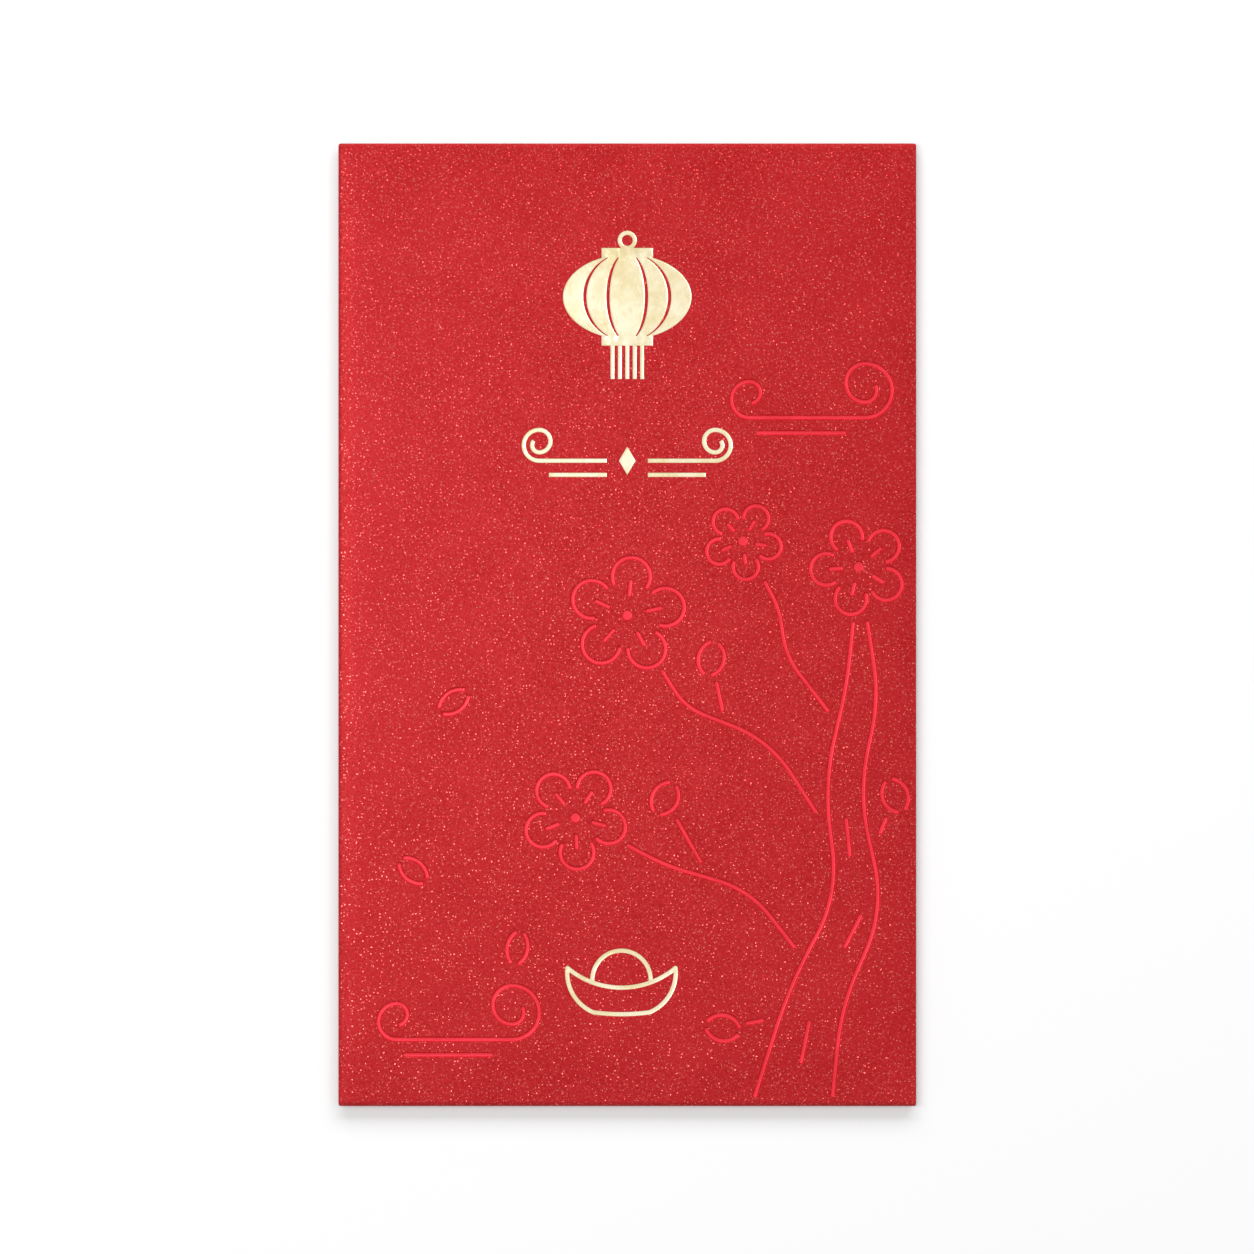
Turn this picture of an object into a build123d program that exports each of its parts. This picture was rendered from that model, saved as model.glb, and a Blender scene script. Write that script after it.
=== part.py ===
"""Red envelope: one die-cut sheet of pearl paper, folded and glued, with gold and red foil on its face.

The packet lies on its back, face up. X runs across it, Y runs from the bottom fold to the flap crease, and
Z is up. The origin is on the surface that it lies on, under the middle of the packet.
"""

import os
from math import radians, tan

from build123d import *

os.makedirs("parts", exist_ok=True)

# The folded packet, in millimetres
packet_width = 90.0
packet_height = 150.0
paper = 0.30
pocket_gap = 0.60
glue_film = 0.05
corner_relief = 0.30

# Back of the pocket
seam_inset = 1.0
mouth_drop = 6.0
mouth_corner = 9.0
mouth_end_drop = 0.8
back_foot_inset = 0.6
tab_width = 13.0
tab_end_slant = 9.0
tab_glue_width = 7.0
tab_glue_end_inset = 12.0

# Bottom flap
bottom_flap_depth = 17.0
bottom_flap_slant = 5.0
bottom_flap_corner = 3.0
bottom_glue_depth = 9.0
bottom_glue_side_inset = 12.0
bottom_glue_fold_inset = 4.0

# Top flap with its strip of tape
flap_depth = 43.0
flap_slant = 7.0
flap_bow = 4.0
flap_corner = 9.0
tape = 0.10
tape_length = 60.0
tape_width = 8.0
tape_edge_inset = 8.0
liner = 0.08
liner_margin = 1.0
liner_pull_tab = 5.0
liner_corner = 1.5
flap_clearance = 0.12

# Foil film, and the widths of its gold and red lines
foil = 0.06
gold_line = 0.65
red_line = 0.65

# Gold foil
lantern_width = 20.0
lantern_height = 13.2
lantern_rib_line = 0.50
lantern_rib_shares = (0.66, 0.30)
lantern_rib_height_share = 1.04
lantern_cap_width = 8.0
lantern_cap_height = 1.5
lantern_cap_lap = 0.5
lantern_loop_radius = 1.5
tassel_strands = 5
tassel_pitch = 1.15
tassel_strand_width = 0.60
tassel_length = 5.2
lantern_place_shares = (0.0, 0.34)
scroll_gap = 3.2
scroll_reach = 10.5
scroll_curl_radii = (2.4, 1.75, 1.1)
scroll_curl_turns = (180, 180, 130)
scroll_underline_drop = 2.2
scroll_underline_reach = 9.0
lozenge_width = 2.6
lozenge_height = 4.4
scroll_place_shares = (0.0, 0.17)
ingot_width = 16.8
ingot_height = 9.6
ingot_arc_shares = (
    ((-0.5, 0.22), (0.0, -0.10), (0.5, 0.22)),
    ((0.5, 0.22), (0.43, -0.26), (0.26, -0.5)),
    ((0.26, -0.5), (0.0, -0.53), (-0.26, -0.5)),
    ((-0.26, -0.5), (-0.43, -0.26), (-0.5, 0.22)),
    ((-0.27, 0.0), (0.0, 0.5), (0.27, 0.0)),
)
ingot_place_shares = (-0.01, -0.37)

# Red foil line work
stroke_gap = 1.0
bend_run_share = 0.45
blossom_radii = (9.0, 7.5, 8.0, 6.0)
petals = 5
petal_half_angle = 29.0
petal_root_share = 0.56
stamen_shares = (0.32, 0.62)
pistil_radius = 0.8
bud_length = 5.2
bud_swell = 2.0
loose_petal_length = 5.0
loose_petal_swell = 1.6
cloud_reach = 10.0
cloud_curl_radii = (4.2, 3.0, 1.8)
cloud_curl_turns = (180, 180, 120)
cloud_back_reach = 8.0
cloud_back_curl_radii = (2.8, 1.7)
cloud_back_curl_turns = (180, 170)
cloud_tail_drop = 2.4
cloud_tail_reach = 14.0

# Places of the line work, as shares of the packet's width and height from its middle
blossom_shares = ((0.0, 0.01), (0.40, 0.06), (-0.09, -0.20), (0.20, 0.087))
blossom_turns = (12.0, 40.0, -15.0, 60.0)
stem_shares = (
    ((0.22, -0.49), (0.28, -0.375), (0.365, -0.28), (0.34, -0.165), (0.38, -0.06)),
    ((0.355, -0.49), (0.37, -0.395), (0.445, -0.295), (0.40, -0.175), (0.435, -0.075)),
)
stem_blossom = 1
twig_shares = ((0.29, -0.335), (0.327, -0.195), (0.348, -0.09))
twig_blossoms = (2, 0, 3)
bud_twig_shares = ((0.128, -0.247), (0.165, -0.09), (0.436, -0.217), (0.236, -0.41))
bud_shares = ((0.065, -0.18), (0.145, -0.035), (0.463, -0.177), (0.165, -0.418))
bark_shares = (
    ((0.30, -0.455), (0.315, -0.41)),
    ((0.375, -0.335), (0.405, -0.30)),
    ((0.385, -0.24), (0.378, -0.20)),
)
loose_petal_shares = ((-0.30, -0.08), (-0.37, -0.255), (-0.19, -0.335))
loose_petal_turns = (35.0, -40.0, 80.0)
cloud_shares = ((-0.31, -0.43), (0.30, 0.215))

# Bends of each twig, as shares of the way from its start to its blossom, along it and to its left
twig_bend_shares = (
    ((0.27, -0.105), (0.60, -0.02)),
    ((0.31, -0.06), (0.61, 0.08)),
    ((0.36, 0.07), (0.60, -0.01)),
)

# Levels of the layers, from the surface up
flap_inside = paper
back_outside = flap_inside + tape + liner + flap_clearance
back_inside = back_outside + paper
tab_outside = back_inside + glue_film
front_inside = back_inside + pocket_gap
front_face = front_inside + paper
bottom_flap_outside = back_outside - glue_film - paper

# Outer bend radius of each fold, from the front face down to the layer that it carries
left_radius = (front_face - back_outside) / 2
right_radius = (front_face - tab_outside) / 2
bottom_radius = (front_face - bottom_flap_outside) / 2
crease_radius = front_face / 2

# Lines where the flat front ends and the folds begin
half_width = packet_width / 2
half_height = packet_height / 2
left_line = left_radius - half_width
right_line = half_width - right_radius
bottom_line = bottom_radius - half_height
crease_line = half_height - crease_radius
fold_half_length = half_width - corner_relief


def place(shares):
    """Point on the front, given in shares of the packet's width and height from its middle."""
    return Vector(shares[0] * packet_width, shares[1] * packet_height)


def polar(centre, radius, angle):
    """Point at a distance and an angle in degrees from a centre on the front."""
    return centre + Vector(radius, 0).rotate(Axis.Z, angle)


def fold_section(centre, bulge, along, radius):
    """Half-round section of a fold, which bulges one way from the bend's centre and runs along another."""
    with BuildSketch(Plane(centre, x_dir=bulge, z_dir=along)) as section:
        with BuildLine():
            outer = ThreePointArc((0, radius), (radius, 0), (0, -radius))
            inner = ThreePointArc((0, paper - radius), (radius - paper, 0), (0, radius - paper))
            Line(outer @ 1, inner @ 0)
            Line(inner @ 1, outer @ 0)
        make_face()
    return section.sketch


def flat_section(outline, level):
    """Flat face with a straight-sided outline, at a level."""
    with BuildSketch(Plane.XY.offset(level)) as section:
        with BuildLine():
            Polyline(*outline, close=True)
        make_face()
    return section.sketch


def line_stroke(start, end):
    """Straight red stroke."""
    with BuildSketch() as stroke:
        with BuildLine():
            Line(start, end)
        trace(line_width=red_line)
    return stroke.sketch


def arc_stroke(start, middle, end):
    """Red stroke along an arc through three points."""
    with BuildSketch() as stroke:
        with BuildLine():
            ThreePointArc(start, middle, end)
        trace(line_width=red_line)
    return stroke.sketch


def bent_stroke(points):
    """Red stroke of straight runs, with each bend as wide as the runs beside it allow."""
    radii = []
    for before, corner, after in zip(points, points[1:], points[2:]):
        shorter_run = min((corner - before).length, (after - corner).length)
        half_turn = (corner - before).get_angle(after - corner) / 2
        radii.append(bend_run_share * shorter_run / tan(radians(half_turn)))
    with BuildSketch() as stroke:
        with BuildLine():
            FilletPolyline(*points, radius=radii)
        trace(line_width=red_line)
    return stroke.sketch


def petal_strokes(centre, angle, length, swell):
    """Two red arcs, open at both ends, that make a petal or a bud along an angle in degrees."""
    strokes = []
    for side in (-1, 1):
        points = [
            Vector(-length / 2, side * stroke_gap / 2),
            Vector(0, side * swell),
            Vector(length / 2, side * stroke_gap / 2),
        ]
        strokes.append(arc_stroke(*(centre + point.rotate(Axis.Z, angle) for point in points)))
    return strokes


def stop_short(points, target, reach):
    """The points and one more, on the way to a target, that stops at a distance from it."""
    return [*points, target + (points[-1] - target).normalized() * reach]


def draw_curl(start, side, reach, radii, turns):
    """Draw a straight line to one side, which ends in an inward curl."""
    run = Line(start, start + Vector(side * reach, 0))
    end = run @ 1
    heading = run % 1
    for radius, turn in zip(radii, turns):
        arc = JernArc(end, heading, radius, side * turn)
        end = arc @ 1
        heading = arc % 1


# Front panel: the flat face between the four crease lines
front_outline = [
    (left_line, bottom_line),
    (right_line, bottom_line),
    (right_line, crease_line),
    (left_line, crease_line),
]
with BuildPart() as front_panel:
    extrude(flat_section(front_outline, front_inside), amount=paper)

# Left fold: carries the back panel
side_fold_length = crease_line - bottom_line
left_centre = (left_line, bottom_line, front_face - left_radius)
with BuildPart() as left_fold:
    extrude(fold_section(left_centre, (-1, 0, 0), (0, 1, 0), left_radius), amount=side_fold_length)

# Right fold: a tighter bend, because the side tab that it carries lies inside the pocket
right_centre = (right_line, bottom_line, front_face - right_radius)
with BuildPart() as right_fold:
    extrude(fold_section(right_centre, (1, 0, 0), (0, 1, 0), right_radius), amount=side_fold_length)

# Bottom fold: goes round the pocket's foot to the bottom flap on the back
bottom_centre = (-fold_half_length, bottom_line, front_face - bottom_radius)
with BuildPart() as bottom_fold:
    extrude(fold_section(bottom_centre, (0, -1, 0), (1, 0, 0), bottom_radius), amount=2 * fold_half_length)

# Flap crease: the widest bend, concentric with the axis that the flap turns on
crease_centre = (-fold_half_length, crease_line, crease_radius)
with BuildPart() as flap_crease:
    extrude(fold_section(crease_centre, (0, 1, 0), (1, 0, 0), crease_radius), amount=2 * fold_half_length)

# Back panel: from the left fold to just short of the right edge, with a mouth cut lower than the crease
back_edge = half_width - seam_inset
back_foot = bottom_line + back_foot_inset
mouth_line = crease_line - mouth_drop
mouth_end = crease_line - mouth_end_drop
back_outline = [
    (left_line, back_foot),
    (back_edge, back_foot),
    (back_edge, mouth_end),
    (back_edge - mouth_corner, mouth_line),
    (left_line + mouth_corner, mouth_line),
    (left_line, mouth_end),
]
with BuildPart() as back_panel:
    extrude(flat_section(back_outline, back_outside), amount=paper)

# Side tab: inside the pocket, with slanted ends
tab_edge = right_line - tab_width
tab_outline = [
    (right_line, bottom_line),
    (right_line, crease_line),
    (tab_edge, crease_line - tab_end_slant),
    (tab_edge, bottom_line + tab_end_slant),
]
with BuildPart() as side_tab:
    extrude(flat_section(tab_outline, tab_outside), amount=paper)

# Glue between the side tab and the back panel
tab_glue_start = right_line - (tab_width + tab_glue_width) / 2
tab_glue_outline = [
    (tab_glue_start, bottom_line + tab_glue_end_inset),
    (tab_glue_start + tab_glue_width, bottom_line + tab_glue_end_inset),
    (tab_glue_start + tab_glue_width, crease_line - tab_glue_end_inset),
    (tab_glue_start, crease_line - tab_glue_end_inset),
]
with BuildPart() as side_seam_glue:
    extrude(flat_section(tab_glue_outline, back_inside), amount=glue_film)

# Bottom flap: outside the back panel, with slanted sides and rounded corners
bottom_flap_edge = bottom_line + bottom_flap_depth
with BuildPart() as bottom_flap:
    with BuildSketch(Plane.XY.offset(bottom_flap_outside)) as bottom_flap_outline:
        with BuildLine():
            Polyline(
                (-fold_half_length, bottom_line),
                (fold_half_length, bottom_line),
                (fold_half_length - bottom_flap_slant, bottom_flap_edge),
                (bottom_flap_slant - fold_half_length, bottom_flap_edge),
                close=True,
            )
        make_face()
        fillet(bottom_flap_outline.vertices().group_by(Axis.Y)[-1], bottom_flap_corner)
    extrude(amount=paper)

# Glue between the bottom flap and the back panel
bottom_glue_half = half_width - bottom_glue_side_inset
bottom_glue_start = bottom_line + bottom_glue_fold_inset
bottom_glue_outline = [
    (-bottom_glue_half, bottom_glue_start),
    (bottom_glue_half, bottom_glue_start),
    (bottom_glue_half, bottom_glue_start + bottom_glue_depth),
    (-bottom_glue_half, bottom_glue_start + bottom_glue_depth),
]
with BuildPart() as bottom_flap_glue:
    extrude(flat_section(bottom_glue_outline, back_outside - glue_film), amount=glue_film)

# Top flap: slanted sides, a bowed lower edge and rounded corners
flap_tip = crease_line - flap_depth
flap_side_half = fold_half_length - flap_slant
with BuildPart() as top_flap:
    with BuildSketch(Plane.XY) as flap_outline:
        with BuildLine():
            Polyline(
                (-flap_side_half, flap_tip + flap_bow),
                (-fold_half_length, crease_line),
                (fold_half_length, crease_line),
                (flap_side_half, flap_tip + flap_bow),
            )
            ThreePointArc(
                (flap_side_half, flap_tip + flap_bow),
                (0, flap_tip),
                (-flap_side_half, flap_tip + flap_bow),
            )
        make_face()
        fillet(flap_outline.vertices().group_by(Axis.Y)[0], flap_corner)
    extrude(amount=paper)

# Double-sided tape on the inside of the flap
tape_middle = flap_tip + tape_edge_inset + tape_width / 2
with BuildPart() as flap_tape:
    with BuildSketch(Plane.XY.offset(flap_inside)):
        with Locations((0, tape_middle)):
            Rectangle(tape_length, tape_width)
    extrude(amount=tape)

# Release liner over the tape, wider than it all round, with a pull tab at its right end
liner_half = tape_length / 2 + liner_margin
with BuildPart() as release_liner:
    with BuildSketch(Plane.XY.offset(flap_inside + tape)):
        with Locations((liner_pull_tab / 2, tape_middle)):
            RectangleRounded(2 * liner_half + liner_pull_tab, tape_width + 2 * liner_margin, liner_corner)
    extrude(amount=liner)

# Gold lantern: a ribbed body between two caps, with a loop to hang it by and a tassel
lantern_middle = place(lantern_place_shares)
cap_offset = Vector(0, lantern_height / 2 - lantern_cap_lap + lantern_cap_height / 2)
loop_offset = cap_offset + Vector(0, lantern_cap_height / 2 + lantern_loop_radius - gold_line / 2)
tassel_offset = cap_offset + Vector(0, lantern_cap_height / 2 + tassel_length / 2)
with BuildPart() as foil_lantern:
    with BuildSketch(Plane.XY.offset(front_face)):
        with Locations(lantern_middle):
            Ellipse(lantern_width / 2, lantern_height / 2)
            for share in lantern_rib_shares:
                rib_half = share * lantern_width / 2
                rib_rise = lantern_rib_height_share * lantern_height / 2
                Ellipse(rib_half + lantern_rib_line / 2, rib_rise, mode=Mode.SUBTRACT)
                Ellipse(rib_half - lantern_rib_line / 2, rib_rise)
        with Locations(lantern_middle + cap_offset, lantern_middle - cap_offset):
            Rectangle(lantern_cap_width, lantern_cap_height)
        with Locations(lantern_middle + loop_offset):
            Circle(lantern_loop_radius)
            Circle(lantern_loop_radius - gold_line, mode=Mode.SUBTRACT)
        with Locations(lantern_middle - tassel_offset):
            with GridLocations(tassel_pitch, tassel_length, tassel_strands, 1):
                Rectangle(tassel_strand_width, tassel_length)
    extrude(amount=foil)

# Gold scrolls: a curled line and a shorter line under it on each side of a lozenge
scroll_middle = place(scroll_place_shares)
with BuildPart() as foil_scrolls:
    with BuildSketch(Plane.XY.offset(front_face)):
        for side in (-1, 1):
            scroll_start = scroll_middle + Vector(side * scroll_gap, 0)
            underline_start = scroll_start - Vector(0, scroll_underline_drop)
            with BuildLine():
                draw_curl(scroll_start, side, scroll_reach, scroll_curl_radii, scroll_curl_turns)
            trace(line_width=gold_line)
            with BuildLine():
                Line(underline_start, underline_start + Vector(side * scroll_underline_reach, 0))
            trace(line_width=gold_line)
        with BuildLine():
            Polyline(
                scroll_middle + Vector(lozenge_width / 2, 0),
                scroll_middle + Vector(0, lozenge_height / 2),
                scroll_middle - Vector(lozenge_width / 2, 0),
                scroll_middle - Vector(0, lozenge_height / 2),
                close=True,
            )
        make_face()
    extrude(amount=foil)

# Gold ingot: a boat-shaped outline with a domed top
ingot_middle = place(ingot_place_shares)
with BuildPart() as foil_ingot:
    with BuildSketch(Plane.XY.offset(front_face)):
        for arc_shares in ingot_arc_shares:
            start, middle, end = (
                ingot_middle + Vector(across * ingot_width, up * ingot_height) for across, up in arc_shares
            )
            with BuildLine():
                ThreePointArc(start, middle, end)
            trace(line_width=gold_line)
            with Locations(start, end):
                Circle(gold_line / 2)
    extrude(amount=foil)

# Blossoms: rounded petals with a stamen in each and a round pistil
blossom_strokes = []
for shares, turn, radius in zip(blossom_shares, blossom_turns, blossom_radii):
    centre = place(shares)
    root = petal_root_share * radius
    for step in range(petals):
        angle = turn + step * 360 / petals
        blossom_strokes += [
            arc_stroke(
                polar(centre, root, angle - petal_half_angle),
                polar(centre, radius, angle),
                polar(centre, root, angle + petal_half_angle),
            ),
            line_stroke(*(polar(centre, share * radius, angle) for share in stamen_shares)),
        ]
with BuildPart() as foil_blossoms:
    with BuildSketch(Plane.XY.offset(front_face)):
        add(blossom_strokes)
        with Locations(*(place(shares) for shares in blossom_shares)):
            Circle(pistil_radius)
    extrude(amount=foil)

# Branch: a stem of two lines, twigs that end at blossoms or buds, and a few bark marks
branch_strokes = [line_stroke(place(low), place(high)) for low, high in bark_shares]
branches = [([place(shares) for shares in line_shares], stem_blossom) for line_shares in stem_shares]
for shares, blossom, bend_shares in zip(twig_shares, twig_blossoms, twig_bend_shares):
    start = place(shares)
    way = place(blossom_shares[blossom]) - start
    left = way.rotate(Axis.Z, 90)
    bends = [start + way * along + left * aside for along, aside in bend_shares]
    branches.append(([start, *bends], blossom))
for points, blossom in branches:
    reach = blossom_radii[blossom] + stroke_gap
    branch_strokes.append(bent_stroke(stop_short(points, place(blossom_shares[blossom]), reach)))
for twig, bud in zip(bud_twig_shares, bud_shares):
    start = place(twig)
    centre = place(bud)
    angle = Vector(1, 0).get_signed_angle(centre - start)
    branch_strokes.append(line_stroke(*stop_short([start], centre, bud_length / 2 + stroke_gap)))
    branch_strokes += petal_strokes(centre, angle, bud_length, bud_swell)
with BuildPart() as foil_branch:
    with BuildSketch(Plane.XY.offset(front_face)):
        add(branch_strokes)
    extrude(amount=foil)

# Loose petals
loose_strokes = []
for shares, turn in zip(loose_petal_shares, loose_petal_turns):
    loose_strokes += petal_strokes(place(shares), turn, loose_petal_length, loose_petal_swell)
with BuildPart() as foil_petals:
    with BuildSketch(Plane.XY.offset(front_face)):
        add(loose_strokes)
    extrude(amount=foil)

# Clouds: a line that curls up at both ends, with a tail line under it
with BuildPart() as foil_clouds:
    with BuildSketch(Plane.XY.offset(front_face)):
        for shares in cloud_shares:
            centre = place(shares)
            tail = centre - Vector(0, cloud_tail_drop)
            half_tail = Vector(cloud_tail_reach / 2, 0)
            with BuildLine():
                draw_curl(centre, 1, cloud_reach, cloud_curl_radii, cloud_curl_turns)
                draw_curl(centre, -1, cloud_back_reach, cloud_back_curl_radii, cloud_back_curl_turns)
            trace(line_width=red_line)
            add(line_stroke(tail - half_tail, tail + half_tail))
    extrude(amount=foil)

pieces = {
    "front_panel": front_panel,
    "left_fold": left_fold,
    "right_fold": right_fold,
    "bottom_fold": bottom_fold,
    "flap_crease": flap_crease,
    "back_panel": back_panel,
    "side_tab": side_tab,
    "side_seam_glue": side_seam_glue,
    "bottom_flap": bottom_flap,
    "bottom_flap_glue": bottom_flap_glue,
    "top_flap": top_flap,
    "flap_tape": flap_tape,
    "release_liner": release_liner,
    "foil_lantern": foil_lantern,
    "foil_scrolls": foil_scrolls,
    "foil_ingot": foil_ingot,
    "foil_blossoms": foil_blossoms,
    "foil_branch": foil_branch,
    "foil_petals": foil_petals,
    "foil_clouds": foil_clouds,
}
for name, piece in pieces.items():
    piece.part.label = name
    export_step(piece.part, f"parts/{name}.step")
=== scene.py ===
"""Looks of the red envelope: folded pearl paper, pressed foil, a sealing flap and a plain studio.

Lengths are in metres, in the part's own frame: the packet lies on its back with its face up.
"""

import logging
import math
from collections import Counter
from dataclasses import dataclass, field
from enum import Enum
from typing import NamedTuple

import bmesh
import bpy
import numpy as np
from bpy.types import Material, Node, NodeSocket, NodeTree, Object
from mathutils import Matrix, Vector
from mathutils.geometry import delaunay_2d_cdt
from mathutils.kdtree import KDTree


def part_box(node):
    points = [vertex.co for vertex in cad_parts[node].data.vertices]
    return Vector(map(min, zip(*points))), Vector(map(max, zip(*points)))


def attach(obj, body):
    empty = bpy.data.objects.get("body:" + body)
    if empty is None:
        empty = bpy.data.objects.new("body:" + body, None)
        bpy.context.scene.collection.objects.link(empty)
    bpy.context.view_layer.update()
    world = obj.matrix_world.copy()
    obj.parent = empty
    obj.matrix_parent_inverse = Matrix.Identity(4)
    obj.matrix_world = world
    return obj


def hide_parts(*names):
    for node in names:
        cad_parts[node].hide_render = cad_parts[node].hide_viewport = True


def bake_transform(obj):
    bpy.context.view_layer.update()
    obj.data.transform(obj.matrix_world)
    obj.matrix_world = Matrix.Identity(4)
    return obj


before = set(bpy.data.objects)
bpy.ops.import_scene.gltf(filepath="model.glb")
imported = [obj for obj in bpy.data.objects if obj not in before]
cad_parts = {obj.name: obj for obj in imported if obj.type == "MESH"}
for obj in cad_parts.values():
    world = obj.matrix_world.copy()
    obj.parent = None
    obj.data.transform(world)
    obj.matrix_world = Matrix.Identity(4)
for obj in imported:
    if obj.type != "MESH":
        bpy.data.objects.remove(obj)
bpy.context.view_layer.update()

LOG = logging.getLogger("red_envelope")
MM = 0.001
# Points closer than the first are one point, and a difference below the second is rounding.
WELD, TINY = 1e-6, 1e-9
SHARP_ANGLE = math.radians(55)
# A face counts as an upper one where this share of its normal points up.
UPWARD = 0.9
# Share of an outline's run that the rounding of one of its corners may take.
ARC_SHARE = 0.48
# Seen from above, a corner of the packet is a rounded square: 2 would be a circle.
CORNER_POWER = 4
# What the triangulation gives back: the triangles inside the border.
INSIDE_BORDER = 1
# Inputs of the Mix node when it mixes colours: its names repeat, so they are taken by place.
MIX_SHARE, MIX_FIRST, MIX_SECOND = 0, 6, 7
# Octaves of a noise, from a gentle drift to felted fibres.
GENTLE, FINE, CLOUDY, FELTED = 1.0, 2.0, 3.0, 4.0
WHITE = "#FFFFFF"

Array = np.ndarray
Faces = list[tuple[int, ...]]


class Side(Enum):
    """Side of the paper that a face shows, numbered as its material slot."""

    OUTSIDE = 0
    INSIDE = 1
    EDGE = 2


def linear(code: str) -> tuple[float, float, float, float]:
    """Turn an sRGB hex colour into linear RGBA.

    Args:
        code: colour such as "#C83237".

    Returns:
        Linear red, green and blue, and full alpha.
    """
    shares = (int(code[k:k + 2], 16) / 255 for k in (1, 3, 5))
    red, green, blue = (s / 12.92 if s <= 0.04045 else ((s + 0.055) / 1.055) ** 2.4 for s in shares)
    return red, green, blue, 1.0


def set_inputs(tree: NodeTree, node: Node, inputs: dict) -> None:
    """Set or link a node's inputs.

    Args:
        tree: node tree that holds the node.
        node: the node.
        inputs: values, sockets to link from, or nodes to link from by their first live output, each
            by the input's name or number.
    """
    for key, value in inputs.items():
        if isinstance(value, Node):
            value = next(output for output in value.outputs if output.enabled)
        if isinstance(value, NodeSocket):
            tree.links.new(value, node.inputs[key])
        else:
            node.inputs[key].default_value = value


def add_node(tree: NodeTree, kind: str, inputs: dict | None = None, **settings: object) -> Node:
    """Add a node with its settings and inputs.

    Args:
        tree: node tree that takes the node.
        kind: Blender's type name after "ShaderNode".
        inputs: the node's inputs, as set_inputs takes them.
        settings: properties of the node itself.

    Returns:
        The new node.
    """
    node = tree.nodes.new("ShaderNode" + kind)
    for name, value in settings.items():
        setattr(node, name, value)
    set_inputs(tree, node, inputs or {})
    return node


@dataclass(frozen=True)
class Finish:
    """A surface finish that becomes one procedural material."""

    name: str

    def material(self) -> Material:
        """Make this finish's material, or find the one made before.

        Returns:
            The material.
        """
        made = bpy.data.materials.get(self.name)
        if made is None:
            made = bpy.data.materials.new(self.name)
            made.use_nodes = True
            tree = made.node_tree
            set_inputs(tree, tree.nodes["Principled BSDF"], self.paint(tree))
        return made

    def paint(self, tree: NodeTree) -> dict:
        """Wire the finish's pattern, and give the inputs of its Principled shader."""
        raise NotImplementedError

    def millimetres(self, tree: NodeTree) -> Node:
        """Give the place on the piece in millimetres, so that scales are real sizes."""
        place = add_node(tree, "TexCoord").outputs["Object"]
        return add_node(tree, "VectorMath", {0: place, "Scale": 1 / MM}, operation="SCALE")

    def two_tone(
        self, tree: NodeTree, pattern: Node | NodeSocket, tones: tuple[str, str],
        span: tuple[float, float] = (0.0, 1.0),
    ) -> Node:
        """Spread a pattern over two colours.

        Args:
            tree: the material's nodes.
            pattern: the pattern's value.
            tones: the two colours.
            span: values at which the first colour and the second are full.

        Returns:
            The colour.
        """
        share = add_node(tree, "MapRange", {"Value": pattern, "From Min": span[0], "From Max": span[1]})
        first, second = map(linear, tones)
        return add_node(
            tree, "Mix", {MIX_SHARE: share, MIX_FIRST: first, MIX_SECOND: second}, data_type="RGBA"
        )


class Marks(NamedTuple):
    """Strewn marks: how much of a mark is at a place, and three chances from 0 to 1 that it has."""

    cover: Node
    chances: list[NodeSocket]
    together: NodeSocket


@dataclass(frozen=True)
class Strewing:
    """Small marks strewn through a coat, one in each cell of a grid, turned every way.

    Each mark's height is nearly a whole cell, so that a face half way up a cell cuts most marks.
    """

    gap_mm: float
    mark_mm: tuple[float, float, float]
    core: float
    scatter: float = 0.95

    def marks(self, tree: NodeTree, place: Node) -> Marks:
        """Wire the marks.

        Args:
            tree: the material's nodes.
            place: place on the piece in millimetres, moved about so that no rows of cells show.

        Returns:
            The marks.
        """
        cell = add_node(
            tree, "TexVoronoi",
            {"Vector": place, "Scale": 1 / self.gap_mm, "Randomness": self.scatter},
        ).outputs
        chances = list(add_node(tree, "SeparateColor", {"Color": cell["Color"]}).outputs)
        gap = add_node(tree, "VectorMath", {0: place, 1: cell["Position"]}, operation="SUBTRACT")
        turn = add_node(tree, "Math", {0: chances[2], 1: math.tau}, operation="MULTIPLY")
        turned = add_node(tree, "VectorRotate", {"Vector": gap, "Angle": turn}, rotation_type="Z_AXIS")
        halves = tuple(2 / size for size in self.mark_mm)
        shares = add_node(tree, "VectorMath", {0: turned, 1: halves}, operation="MULTIPLY")
        off = add_node(tree, "VectorMath", {0: shares}, operation="LENGTH")
        cover = add_node(
            tree, "MapRange", {"Value": off, "From Min": self.core, "To Min": 1.0, "To Max": 0.0},
            interpolation_type="SMOOTHSTEP",
        )
        return Marks(cover, chances, cell["Color"])


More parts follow.
